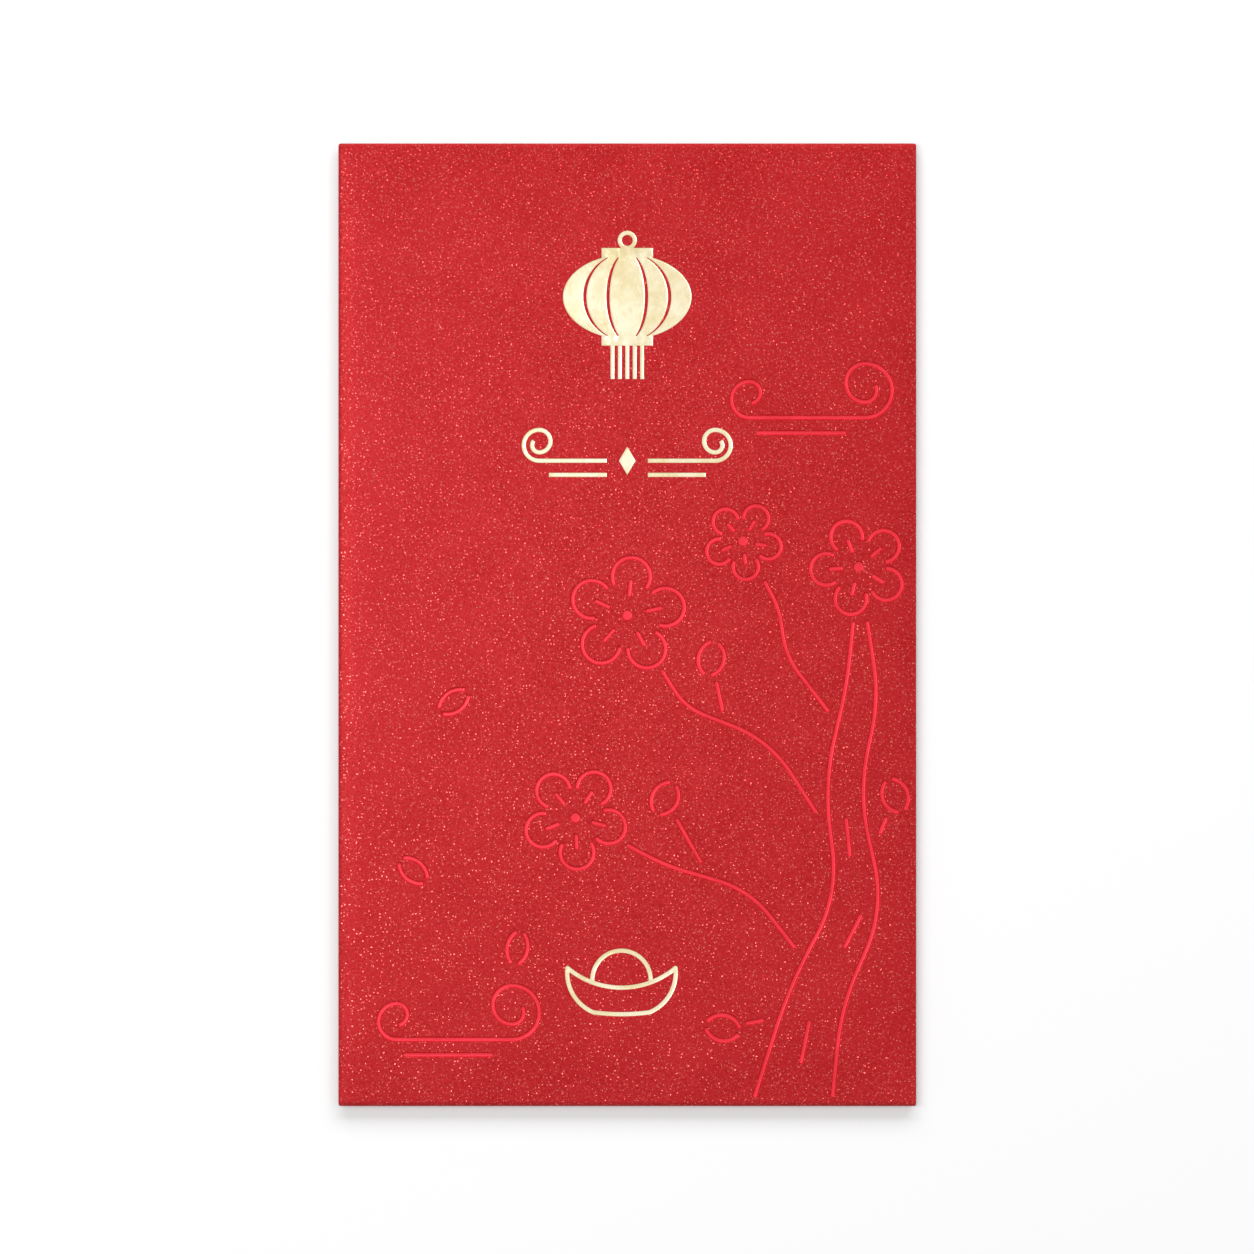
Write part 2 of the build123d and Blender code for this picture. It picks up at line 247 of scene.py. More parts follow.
@dataclass(frozen=True)
class PearlPaper(Finish):
    """Dyed pearl paper with a calendered mica coat.

    To the eye: a deep red with a soft sheen and a fine grain, whose paler tone is partly painted
    sparkle of flakes too small to draw, strewn with mica flakes that catch the light as small pink
    points, and with curled fibres under the coat.
    """

    # The paler ground tone is the dye's own grain and also painted sparkle of glints too small to draw.
    ground_with_painted_sparkle: str = "#C82B31"
    shade: str = "#A50C12"
    flake: str = "#D04A46"
    bright_flake: str = "#EB9287"
    fibre: str = "#DF4C4B"
    cloud_mm: float = 9.0
    tooth_mm: float = 0.3
    tooth_share: float = 4.0
    grain_and_sparkle_span: tuple[float, float] = (1.5, 3.5)
    stray_mm: float = 5.0
    stray_by_mm: float = 2.0
    curl_mm: float = 0.5
    curl_by_mm: float = 0.5
    # A real flake or fibre is under 0.1 mm wide: both are drawn twice as wide, so that they show.
    flakes: Strewing = Strewing(0.52, (0.27, 0.17, 0.52), core=0.65)
    fibres: Strewing = Strewing(0.8, (0.75, 0.14, 0.8), core=0.4)
    flake_tilt: float = 0.4
    mean_chance: tuple[float, float, float] = (0.5, 0.5, 0.5)
    least_clear: float = 0.4
    relief_mm: float = 0.009
    relief_strength: float = 0.6
    sheen: float = 0.28
    flake_sheen: float = 0.85
    roughness: float = 0.4
    flake_roughness: float = 0.16
    specular: float = 0.15

    def paint(self, tree: NodeTree) -> dict:
        """Wire a grain with painted sparkle, fibres, flakes and a fine tooth.

        Args:
            tree: the material's nodes.

        Returns:
            Inputs of its Principled shader.
        """
        place = self.millimetres(tree)
        cloud = add_node(tree, "TexNoise", {"Vector": place, "Scale": 1 / self.cloud_mm, "Detail": CLOUDY})
        tooth = add_node(tree, "TexNoise", {"Vector": place, "Scale": 1 / self.tooth_mm, "Detail": FINE})
        # The grain's paler, pinker tone is partly painted sparkle: it stands in for glints of mica too
        # small to draw.
        grain_and_painted_sparkle = add_node(tree, "Math", {0: tooth, 1: self.tooth_share, 2: cloud}, operation="MULTIPLY_ADD")
        dyed = self.two_tone(tree, grain_and_painted_sparkle, (self.shade, self.ground_with_painted_sparkle), self.grain_and_sparkle_span)
        strayed = self.moved(tree, place, self.stray_mm, self.stray_by_mm)
        fibre = self.fibres.marks(tree, self.moved(tree, strayed, self.curl_mm, self.curl_by_mm))
        strand = add_node(tree, "Math", {0: fibre.cover, 1: fibre.chances[0]}, operation="MULTIPLY")
        stranded = add_node(
            tree, "Mix", {MIX_SHARE: strand, MIX_FIRST: dyed, MIX_SECOND: linear(self.fibre)},
            data_type="RGBA",
        )
        flake = self.flakes.marks(tree, strayed)
        clear = add_node(tree, "MapRange", {"Value": flake.chances[0], "To Min": self.least_clear})
        glint = add_node(tree, "Math", {0: flake.cover, 1: clear}, operation="MULTIPLY")
        mica = self.two_tone(tree, flake.chances[1], (self.flake, self.bright_flake))
        colour = add_node(
            tree, "Mix", {MIX_SHARE: glint, MIX_FIRST: stranded, MIX_SECOND: mica}, data_type="RGBA"
        )
        gloss = add_node(
            tree, "MapRange",
            {"Value": flake.cover, "To Min": self.roughness, "To Max": self.flake_roughness},
        )
        mirror = add_node(
            tree, "MapRange", {"Value": flake.cover, "To Min": self.sheen, "To Max": self.flake_sheen}
        )
        relief = add_node(
            tree, "Bump",
            {"Height": tooth, "Strength": self.relief_strength, "Distance": self.relief_mm * MM},
        )
        return {
            "Base Color": colour, "Metallic": mirror, "Roughness": gloss,
            "Normal": self.slanted(tree, relief, flake), "Specular IOR Level": self.specular,
        }

    def slanted(self, tree: NodeTree, normal: Node, flake: Marks) -> Node:
        """Lay each flake at its own slant, so that only some send the key lamp's light to the eye.

        Args:
            tree: the material's nodes.
            normal: the paper's normal.
            flake: the flakes.

        Returns:
            The normal with the flakes' slants.
        """
        slant = add_node(
            tree, "VectorMath", {0: flake.together, 1: self.mean_chance}, operation="SUBTRACT"
        )
        reach = add_node(tree, "Math", {0: flake.cover, 1: self.flake_tilt}, operation="MULTIPLY")
        lean = add_node(tree, "VectorMath", {0: slant, "Scale": reach}, operation="SCALE")
        facing = add_node(tree, "VectorMath", {0: normal, 1: lean}, operation="ADD")
        return add_node(tree, "VectorMath", {0: facing}, operation="NORMALIZE")

    def moved(self, tree: NodeTree, place: Node, over_mm: float, by_mm: float) -> Node:
        """Move a place about on the sheet with a noise, so that what is laid out in rows loses them.

        Args:
            tree: the material's nodes.
            place: the place in millimetres.
            over_mm: how far apart the noise's swings are.
            by_mm: how far it moves a place.

        Returns:
            The moved place.
        """
        noise = add_node(tree, "TexNoise", {"Vector": place, "Scale": 1 / over_mm, "Detail": GENTLE})
        across = {0: noise.outputs["Color"], 1: (by_mm, by_mm, 0.0)}
        shift = add_node(tree, "VectorMath", across, operation="MULTIPLY")
        return add_node(tree, "VectorMath", {0: place, 1: shift}, operation="ADD")


@dataclass(frozen=True)
class BarePaper(Finish):
    """Uncoated fibres of the dyed sheet: its back, as it left the paper machine, or a die-cut edge.

    To the eye: a matt red with paler fibres felted over the back, or in torn layers along an edge,
    where the dye hasn't reached every fibre.
    """

    dyed: str
    pale: str
    fibre_mm: float
    span: tuple[float, float]
    octaves: float
    tangle: float
    relief_mm: float
    roughness: float
    specular: float = 0.2

    def paint(self, tree: NodeTree) -> dict:
        """Wire the fibres.

        Args:
            tree: the material's nodes.

        Returns:
            Inputs of its Principled shader.
        """
        fibres = add_node(
            tree, "TexNoise",
            {"Vector": self.millimetres(tree), "Scale": 1 / self.fibre_mm, "Detail": self.octaves,
             "Distortion": self.tangle},
        )
        return {
            "Base Color": self.two_tone(tree, fibres, (self.dyed, self.pale), self.span),
            "Normal": add_node(tree, "Bump", {"Height": fibres, "Distance": self.relief_mm * MM}),
            "Roughness": self.roughness, "Specular IOR Level": self.specular,
        }


@dataclass(frozen=True)
class StampedFoil(Finish):
    """Hot-stamped foil: a lacquer and metal layer released from its carrier by a heated die.

    To the eye: a bright, slightly uneven mirror, because the paper's tooth shows through the film.
    """

    bright: str
    deep: str
    metallic: float
    roughness: float
    cloud_mm: float = 4.0
    cloud_span: tuple[float, float] = (0.35, 0.65)
    tooth_mm: float = 0.5
    tooth_gloss: float = 0.25
    relief_mm: float = 0.01

    def paint(self, tree: NodeTree) -> dict:
        """Wire cloudy colour and the paper's tooth.

        Args:
            tree: the material's nodes.

        Returns:
            Inputs of its Principled shader.
        """
        place = self.millimetres(tree)
        cloud = add_node(tree, "TexNoise", {"Vector": place, "Scale": 1 / self.cloud_mm, "Detail": CLOUDY})
        tooth = add_node(tree, "TexNoise", {"Vector": place, "Scale": 1 / self.tooth_mm, "Detail": FINE})
        gloss = add_node(
            tree, "MapRange",
            {"Value": tooth, "To Min": self.roughness * (1 - self.tooth_gloss),
             "To Max": self.roughness * (1 + self.tooth_gloss)},
        )
        return {
            "Base Color": self.two_tone(tree, cloud, (self.deep, self.bright), self.cloud_span),
            "Normal": add_node(tree, "Bump", {"Height": tooth, "Distance": self.relief_mm * MM}),
            "Roughness": gloss, "Metallic": self.metallic,
        }


@dataclass(frozen=True)
class StripFilm(Finish):
    """A pale working film of the envelope: dried glue, tissue tape or a siliconed liner.

    To the eye: an off-white skin that clouds where it is thicker, with its own gloss and fibres.
    """

    thin: str
    thick: str
    roughness: float
    cloud_mm: float
    fibre_mm: float
    relief_mm: float
    span: tuple[float, float] = (0.75, 1.25)
    # Fibres lie along the strip, four times as long as they are wide.
    drawn: tuple[float, float, float] = (0.25, 1.0, 1.0)
    tangle: float = 1.0

    def paint(self, tree: NodeTree) -> dict:
        """Wire clouds and drawn-out fibres.

        Args:
            tree: the material's nodes.

        Returns:
            Inputs of its Principled shader.
        """
        place = self.millimetres(tree)
        cloud = add_node(tree, "TexNoise", {"Vector": place, "Scale": 1 / self.cloud_mm, "Detail": CLOUDY})
        along = add_node(tree, "Mapping", {"Vector": place, "Scale": self.drawn})
        fibre = add_node(
            tree, "TexNoise",
            {"Vector": along, "Scale": 1 / self.fibre_mm, "Detail": CLOUDY, "Distortion": self.tangle},
        )
        both = add_node(tree, "Math", {0: cloud, 1: fibre}, operation="ADD")
        return {
            "Base Color": self.two_tone(tree, both, (self.thin, self.thick), self.span),
            "Normal": add_node(tree, "Bump", {"Height": fibre, "Distance": self.relief_mm * MM}),
            "Roughness": self.roughness,
        }


PEARL = PearlPaper("dyed_pearl_paper_calendered")
UNCOATED = BarePaper(
    "dyed_paper_uncoated_back", "#B2383A", "#C65553", fibre_mm=0.7, span=(0.35, 0.7), octaves=FELTED,
    tangle=1.4, relief_mm=0.02, roughness=0.85,
)
CUT = BarePaper(
    "dyed_paper_die_cut_edge", "#A82A2C", "#D98780", fibre_mm=0.1, span=(0.45, 0.75), octaves=FINE,
    tangle=0.0, relief_mm=0.03, roughness=0.9,
)
SHEET_FINISHES = (PEARL, UNCOATED, CUT)
# Pale gold: a thin gold lacquer over bright aluminium, so its reflections are nearly white.
GOLD = StampedFoil("pale_gold_foil_hot_stamped", "#F2E8C9", "#E4D3A4", metallic=1.0, roughness=0.2)
# Red foil: a glossy coloured lacquer with a thin broken layer of metal under it.
RED = StampedFoil("red_lacquer_foil_hot_stamped", "#F22F42", "#E62638", metallic=0.45, roughness=0.25)
GLUE = StripFilm(
    "white_glue_dried_film", "#D8CBB2", "#EDE6D6", roughness=0.4, cloud_mm=6.0, fibre_mm=0.8,
    relief_mm=0.02,
)
TAPE = StripFilm(
    "tissue_tape_acrylic_coated", "#E6E1D4", "#F0ECE2", roughness=0.35, cloud_mm=5.0, fibre_mm=0.6,
    relief_mm=0.02,
)
LINER = StripFilm(
    "glassine_liner_siliconed", "#EBE7DB", "#F3F0E6", roughness=0.3, cloud_mm=8.0, fibre_mm=0.7,
    relief_mm=0.008,
)


def weld(points: Array, faces: Faces) -> tuple[Array, Faces, Array]:
    """Merge points that lie together, and drop the faces that collapse.

    Args:
        points: rows of x, y and z.
        faces: corner numbers of each face.

    Returns:
        The merged points, the faces on them, and each old point's new number.
    """
    keys = np.round(points / WELD).astype(np.int64)
    _, first, number = np.unique(keys, axis=0, return_index=True, return_inverse=True)
    number = number.reshape(-1)
    merged = (tuple(dict.fromkeys(number[list(face)].tolist())) for face in faces)
    return points[first], [face for face in merged if len(face) > 2], number


def upper_outlines(node: str) -> list[Array]:
    """Find the closed outlines of a CAD node's upper faces.

    Args:
        node: name of the CAD node.

    Returns:
        One array of x and y rows for each outline, with the face on its left.
    """
    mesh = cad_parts[node].data
    mesh.calc_loop_triangles()
    points = np.array([corner.co for corner in mesh.vertices], dtype=float)
    points, faces, _ = weld(points, [tuple(face.vertices) for face in mesh.loop_triangles])
    corners = points[np.array(faces)]
    normals = np.cross(corners[:, 1] - corners[:, 0], corners[:, 2] - corners[:, 0])
    upward = normals[:, 2] > UPWARD * np.linalg.norm(normals, axis=1)
    edges = {edge for face, up in zip(faces, upward) if up for edge in zip(face, face[1:] + face[:1])}
    ahead = {a: b for a, b in sorted(edges) if (b, a) not in edges}
    outlines = []
    while ahead:
        start, here = ahead.popitem()
        chain = [start]
        while here != start:
            chain.append(here)
            here = ahead.pop(here)
        outlines.append(points[chain][:, :2])
    return outlines


def divide(outline: Array, spacing: float) -> Array:
    """Add points to a closed outline so that none are further apart than a spacing.

    Args:
        outline: rows of x and y.
        spacing: longest run between two points.

    Returns:
        The outline with its added points.
    """
    points = []
    for here, there in zip(outline, np.roll(outline, -1, axis=0)):
        steps = max(1, math.ceil(np.linalg.norm(there - here) / spacing - TINY))
        points.extend(here + (there - here) * step / steps for step in range(steps))
    return np.array(points)


def shares_along(stations: Array) -> Array:
    """Say how far along their span the stations lie, from 0 to 1."""
    return (stations - stations[0]) / (stations[-1] - stations[0])


def round_corners(outline: Array, radius: float, steps: int = 5) -> Array:
    """Round the sharp outer corners of a closed outline, as a stroke's ends are.

    Args:
        outline: rows of x and y, with the inked area on the left.
        radius: radius of the rounding, less where the outline's runs are short.
        steps: runs in each arc.

    Returns:
        The rounded outline.
    """
    shares = np.linspace(0, 1, steps + 1)[:, None]
    points = []
    for before, here, after in zip(np.roll(outline, 1, axis=0), outline, np.roll(outline, -1, axis=0)):
        into, out = here - before, after - here
        turn = math.atan2(into[0] * out[1] - into[1] * out[0], into @ out)
        if turn < SHARP_ANGLE:
            points.append(here)
            continue
        lengths = np.linalg.norm(into), np.linalg.norm(out)
        reach = min(radius * math.tan(turn / 2), ARC_SHARE * min(lengths))
        start, stop = here - into / lengths[0] * reach, here + out / lengths[1] * reach
        pull = 2 * shares * (1 - shares) * math.cos(turn / 2)
        arc = (1 - shares) ** 2 * start + pull * here + shares**2 * stop
        points.extend(arc / ((1 - shares) ** 2 + pull + shares**2))
    return np.array(points)


def fill(border: Array, inside: Array, creases: list[tuple[int, int]] | None = None) -> tuple[Array, Faces]:
    """Cover the area within a border with triangles.

    Args:
        border: rows of x and y in order round the area.
        inside: rows of x and y that the triangles also use.
        creases: pairs of points, the border's counted first, that share a triangle's edge.

    Returns:
        The points, the border's first and in order, and the triangles.
    """
    count = len(border)
    places = [Vector(place) for place in np.vstack([border, inside]).tolist()]
    ring = [(k, (k + 1) % count) for k in range(count)]
    points, _, faces, *_ = delaunay_2d_cdt(places, ring + (creases or []), [], INSIDE_BORDER, TINY)
    return np.array([tuple(point) for point in points]), [tuple(face) for face in faces]


def on_line(axis: int, line: float, stations: Array) -> Array:
    """Set places out along a line across an axis, as rows of x and y."""
    return np.insert(stations[:, None], axis, line, axis=1)


def at_level(places: Array, level: float | Array) -> Array:
    """Lift rows of x and y to a level."""
    return np.column_stack([places, np.broadcast_to(level, len(places))])


def new_piece(
    name: str, points: Array, faces: Faces, finishes: tuple[Finish, ...],
    sides: list[int] | None = None,
) -> Object:
    """Make a mesh object whose normals point outward and whose gentle edges are smooth.

    Args:
        name: the piece's name.
        points: rows of x, y and z.
        faces: corner numbers of each face.
        finishes: the finishes in the mesh's slots.
        sides: slot number of each face, where there is more than one.

    Returns:
        The object, in the scene.
    """
    mesh = bpy.data.meshes.new(name)
    mesh.from_pydata(points.tolist(), [], faces)
    for finish in finishes:
        mesh.materials.append(finish.material())
    if sides is not None:
        mesh.polygons.foreach_set("material_index", sides)
    work = bmesh.new()
    work.from_mesh(mesh)
    bmesh.ops.recalc_face_normals(work, faces=work.faces)
    work.to_mesh(mesh)
    work.free()
    mesh.shade_smooth()
    mesh.set_sharp_from_angle(angle=SHARP_ANGLE)
    piece = bpy.data.objects.new(name, mesh)
    bpy.context.scene.collection.objects.link(piece)
    return piece


class PaperSheet:
    """Gathers the patches of a folded sheet and closes them into one mesh with a thickness."""

    def __init__(self) -> None:
        """Start with no patches."""
        self.outer: list[Array] = []
        self.inner: list[Array] = []
        self.outer_faces: Faces = []
        self.inner_faces: Faces = []
        self.pairs: list[tuple[int, int]] = []

    def add(self, outer: Array, inner: Array, outer_faces: Faces, inner_faces: Faces, shared: int) -> None:
        """Add a patch by its outside and its inside.

        Args:
            outer: points of the outside.
            inner: points of the inside.
            outer_faces: faces of the outside.
            inner_faces: faces of the inside.
            shared: how many points, from the first, lie opposite each other.
        """
        start, below = sum(map(len, self.outer)), sum(map(len, self.inner))
        self.outer.append(outer)
        self.inner.append(inner)
        self.outer_faces += [tuple(corner + start for corner in face) for face in outer_faces]
        self.inner_faces += [tuple(corner + below for corner in face) for face in inner_faces]
        self.pairs += [(start + k, below + k) for k in range(shared)]

    def add_grid(self, outer: Array, inner: Array) -> None:
        """Add a patch whose points stand in rows and columns.

        Args:
            outer: points of the outside by row and column.
            inner: the points opposite them.
        """
        rows, columns = outer.shape[:2]
        faces = [
            (r * columns + c, r * columns + c + 1, (r + 1) * columns + c + 1, (r + 1) * columns + c)
            for r in range(rows - 1) for c in range(columns - 1)
        ]
        self.add(outer.reshape(-1, 3), inner.reshape(-1, 3), faces, faces, rows * columns)

    def add_flat(self, node: str, points: Array, faces: Faces) -> None:
        """Add a flat panel behind the front, coated below, at its CAD node's levels."""
        low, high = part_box(node)
        self.add(at_level(points, low[2]), at_level(points, high[2]), faces, faces, len(points))

    def build(self, name: str) -> Object:
        """Weld the patches, close the free edges and make the piece.

        Args:
            name: the piece's name.

        Returns:
            The object, in the scene.
        """
        outer, outer_faces, outer_number = weld(np.vstack(self.outer), self.outer_faces)
        inner, inner_faces, inner_number = weld(np.vstack(self.inner), self.inner_faces)
        count = len(outer)
        across = {int(outer_number[a]): int(inner_number[b]) + count for a, b in self.pairs}
        uses = Counter(
            tuple(sorted(edge)) for face in outer_faces for edge in zip(face, face[1:] + face[:1])
        )
        rim = [(a, b, across[b], across[a]) for (a, b), times in uses.items() if times == 1]
        inside = [tuple(corner + count for corner in face) for face in inner_faces]
        shown = (outer_faces, Side.OUTSIDE), (inside, Side.INSIDE), (rim, Side.EDGE)
        sides = [side.value for faces, side in shown for _ in faces]
        return new_piece(
            name, np.vstack([outer, inner]), outer_faces + inside + rim, SHEET_FINISHES, sides
        )


@dataclass(frozen=True)
class Roll:
    """How the face rises from a fold: over what width, and how steeply it starts."""

    width: float
    power: float

    def share(self, gap: Array) -> Array:
        """Say what share of the rise the face has at a gap from the fold."""
        return 1 - (1 - np.clip(gap / self.width, 0, 1)) ** self.power

    def lean(self, rise: float) -> float:
        """Give the angle at which the face meets the fold."""
        return math.atan(rise * self.power / self.width)


@dataclass(frozen=True)
class Fold:
    """A half turn of the sheet at an edge of the face, from the face round to the back.

    The edge is a line across one axis, and the fold stands out from it one way along that axis.
    """

    axis: int
    line: float
    way: int
    radius: float
    lean: float
    steps: int = 24

    @property
    def angles(self) -> Array:
        """Angles of the fold's rows, from the face to the back."""
        return np.linspace(0.0, math.pi, self.steps + 1)

    def slope(self, angle: Array) -> Array:
        """Say how steep the sheet is at an angle: it leaves the face with a lean."""
        return np.maximum(angle, self.lean + angle * (1 - 2 * self.lean / math.pi))

    def reach(self, angle: Array, depth: float) -> Array:
        """Say how far the sheet stands out past the line at an angle."""
        start = np.where(angle < math.pi / 2, math.sin(self.lean), 0.0)
        return (self.radius - depth) * (np.sin(self.slope(angle)) - start) / (1 - start)

    def drop(self, angle: Array, depth: float) -> Array:
        """Say how far the sheet lies below the face at an angle."""
        start = np.where(angle < math.pi / 2, math.cos(self.lean), 1.0)
        return self.radius - (self.radius - depth) * np.cos(self.slope(angle)) / start

    def rows(self, stations: Array, ends: tuple[float, float], face: float, depth: float) -> list[Array]:
        """Set out the fold's rows of points.

        Args:
            stations: places along the fold at the face.
            ends: where the fold starts and stops at the back.
            face: level of the face.
            depth: depth of the rows in the paper.

        Returns:
            Points of each row, from the face to the back.
        """
        back = ends[0] + (ends[1] - ends[0]) * shares_along(stations)
        turned = np.clip(2 * self.angles / math.pi - 1, 0, 1)
        out = self.line + self.way * self.reach(self.angles, depth)
        level = face - self.drop(self.angles, depth)
        return [
            at_level(on_line(self.axis, place, stations + (back - stations) * part), height)
            for place, part, height in zip(out, turned, level)
        ]


@dataclass(frozen=True)
class Blank:
    """Folds and levels of the folded sheet, read from the CAD nodes."""

    left: Fold
    right: Fold
    bottom: Fold
    crease: Fold
    face: float
    paper: float
    crease_end: float
    columns: int = 36
    rows: int = 60
    bow: float = 0.16 * MM
    # Each wave in the bow: its height as a share, its swing across and along, and its start.
    waves: tuple[tuple[float, ...], ...] = ((0.3, 3.1, 1.9, 0.6), (0.22, 2.2, -4.3, 0.0))
    rise: float = 0.3 * MM
    side_roll: Roll = Roll(width=5 * MM, power=4)
    end_roll: Roll = Roll(width=10 * MM, power=2)
    edge_rows: tuple[float, ...] = tuple(row * MM for row in (0.2, 0.45, 0.75, 1.1, 1.6))
    # The side folds stop just short of the crease, so that the flap clears them when it lies open.
    end_gap: float = 0.03 * MM

    @classmethod
    def from_frame(cls) -> "Blank":
        """Read the blank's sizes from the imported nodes.

        Returns:
            The blank.
        """
        low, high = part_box("front_panel")

        def fold(node: str, axis: int, way: int, roll: Roll) -> Fold:
            """Read a fold from its node, which is as high as two radii."""
            below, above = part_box(node)
            line = (high if way > 0 else low)[axis]
            return Fold(axis, line, way, (above[2] - below[2]) / 2, roll.lean(cls.rise))

        return cls(
            left=fold("left_fold", 0, -1, cls.side_roll), right=fold("right_fold", 0, 1, cls.side_roll),
            bottom=fold("bottom_fold", 1, -1, cls.end_roll),
            crease=fold("flap_crease", 1, 1, cls.end_roll),
            face=high[2], paper=high[2] - low[2], crease_end=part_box("flap_crease")[1][0],
        )

    @property
    def x_stations(self) -> Array:
        """Places across the face where its edge has points, closer together where it rolls over."""
        left, right, rows = self.left.line, self.right.line, np.array(self.edge_rows)
        even = np.linspace(left, right, self.columns + 1)
        return np.sort(np.concatenate([even, left + rows, right - rows]))

    @property
    def y_stations(self) -> Array:
        """Places up the face where its edge has points, the last on the flap's crease."""
        return np.linspace(self.bottom.line, self.crease.line, self.rows + 1)

    @property
    def side_stations(self) -> Array:
        """Places up the side folds where they have points."""
        return np.append(self.y_stations[:-1], self.crease.line - self.end_gap)

    def lift(self, places: Array) -> Array:
        """Say how far the paper of the face stands out from its edges.

        Args:
            places: rows of x and y.

        Returns:
            The lift at each place.
        """
        x, y = places[:, 0], places[:, 1]
        left, right = x - self.left.line, self.right.line - x
        below, above = y - self.bottom.line, self.crease.line - y
        across, along = (left - right) / (left + right), (below - above) / (below + above)
        window = np.clip(1 - across**2, 0, None) * np.clip(1 - along**2, 0, None)
        wave = sum(high * np.sin(a * across + b * along + start) for high, a, b, start in self.waves)
        rolled = (
            self.side_roll.share(np.minimum(left, right)) * self.end_roll.share(np.minimum(below, above))
        )
        return self.bow * window * (1 + wave) + self.rise * rolled


@dataclass(frozen=True)
class Die:
    """A heated die: the foil that it stamps, how deep, and how round its corners are cut."""

    slot: str
    finish: Finish
    depth: float
    end_radius: float


@dataclass(frozen=True)
class Stamp:
    """One stamped film: its name, the CAD node that it follows and its die."""

    piece: str
    node: str
    die: Die


class MarkEdges:
    """The edges of all stamped marks, divided into short runs."""

    # Points looked at round a place, share by which the squarer of two runs wins a tie, and least
    # value of a mitre's divisor, which keeps the points at a sharp corner near it.
    NEIGHBOURS = 8
    TIE = 1e-3
    LEAST_MITRE = 0.4

    def __init__(self, stamps: tuple[Stamp, ...], spacing: float) -> None:
        """Read the marks' outlines from their CAD nodes.

        Args:
            stamps: the stamps.
            spacing: longest run between two points of an edge.
        """
        outlines = [
            (number, divide(round_corners(outline, stamp.die.end_radius), spacing))
            for number, stamp in enumerate(stamps) for outline in upper_outlines(stamp.node)
        ]
        starts = np.cumsum([0] + [len(points) for _, points in outlines])
        runs = [np.arange(first, last) for first, last in zip(starts, starts[1:])]
        self.points = np.vstack([points for _, points in outlines])
        self.ahead = np.concatenate([np.roll(run, -1) for run in runs])
        self.behind = np.concatenate([np.roll(run, 1) for run in runs])
        self.owner = np.concatenate([np.full(len(points), number) for number, points in outlines])
        self.tree = KDTree(len(self.points))
        for number, (x, y) in enumerate(self.points.tolist()):
            self.tree.insert((x, y, 0.0), number)
        self.tree.balance()

    def measure(self, places: Array) -> tuple[Array, Array]:
        """Find how far places lie from the nearest mark's edge, and whose edge it is.

        Args:
            places: rows of x and y.

        Returns:
            The distances, negative inside a mark, and the stamps' numbers.
        """
        near = np.array([
            [hit[1] for hit in self.tree.find_n((x, y, 0.0), self.NEIGHBOURS)] for x, y in places.tolist()
        ])
        starts = np.hstack([near, self.behind[near]])
        corner = self.points[starts]
        run = self.points[self.ahead[starts]] - corner
        gap = places[:, None, :] - corner
        length = np.maximum(np.linalg.norm(run, axis=2), TINY)
        share = np.clip((gap * run).sum(axis=2) / length**2, 0, 1)
        off = np.linalg.norm(gap - share[..., None] * run, axis=2)
        side = (run[..., 0] * gap[..., 1] - run[..., 1] * gap[..., 0]) / length
        # Two runs tie at a corner: the one more square to the place tells which side it is on.
        best = np.argmin(off - self.TIE * np.abs(side), axis=1)
        pick = np.arange(len(places))
        distance = np.where(side[pick, best] > 0, -off[pick, best], off[pick, best])
        return distance, self.owner[starts[pick, best]]

    def beside(self, rows: tuple[float, ...], slack: float) -> Array:
        """Set out points in rows along the edges.

        Args:
            rows: distance of each row from the edge, negative inside a mark.
            slack: how far a point may be from its row's distance, where another edge is near.

        Returns:
            Rows of x and y.
        """
        run = self.points[self.ahead] - self.points
        run /= np.linalg.norm(run, axis=1)[:, None]
        out = np.column_stack([run[:, 1], -run[:, 0]])
        before = out[self.behind]
        divisor = np.maximum(1 + (out * before).sum(axis=1), self.LEAST_MITRE)
        mitre = (out + before) / divisor[:, None]
        kept = []
        for row in rows:
            places = self.points + row * mitre
            distance, _ = self.measure(places)
            kept.append(places[np.abs(distance - row) < slack])
        places = np.vstack(kept)
        # A row inside a small arc runs together: of the points that meet there, one stays.
        _, first = np.unique(np.round(places / slack), axis=0, return_index=True)
        return places[np.sort(first)]


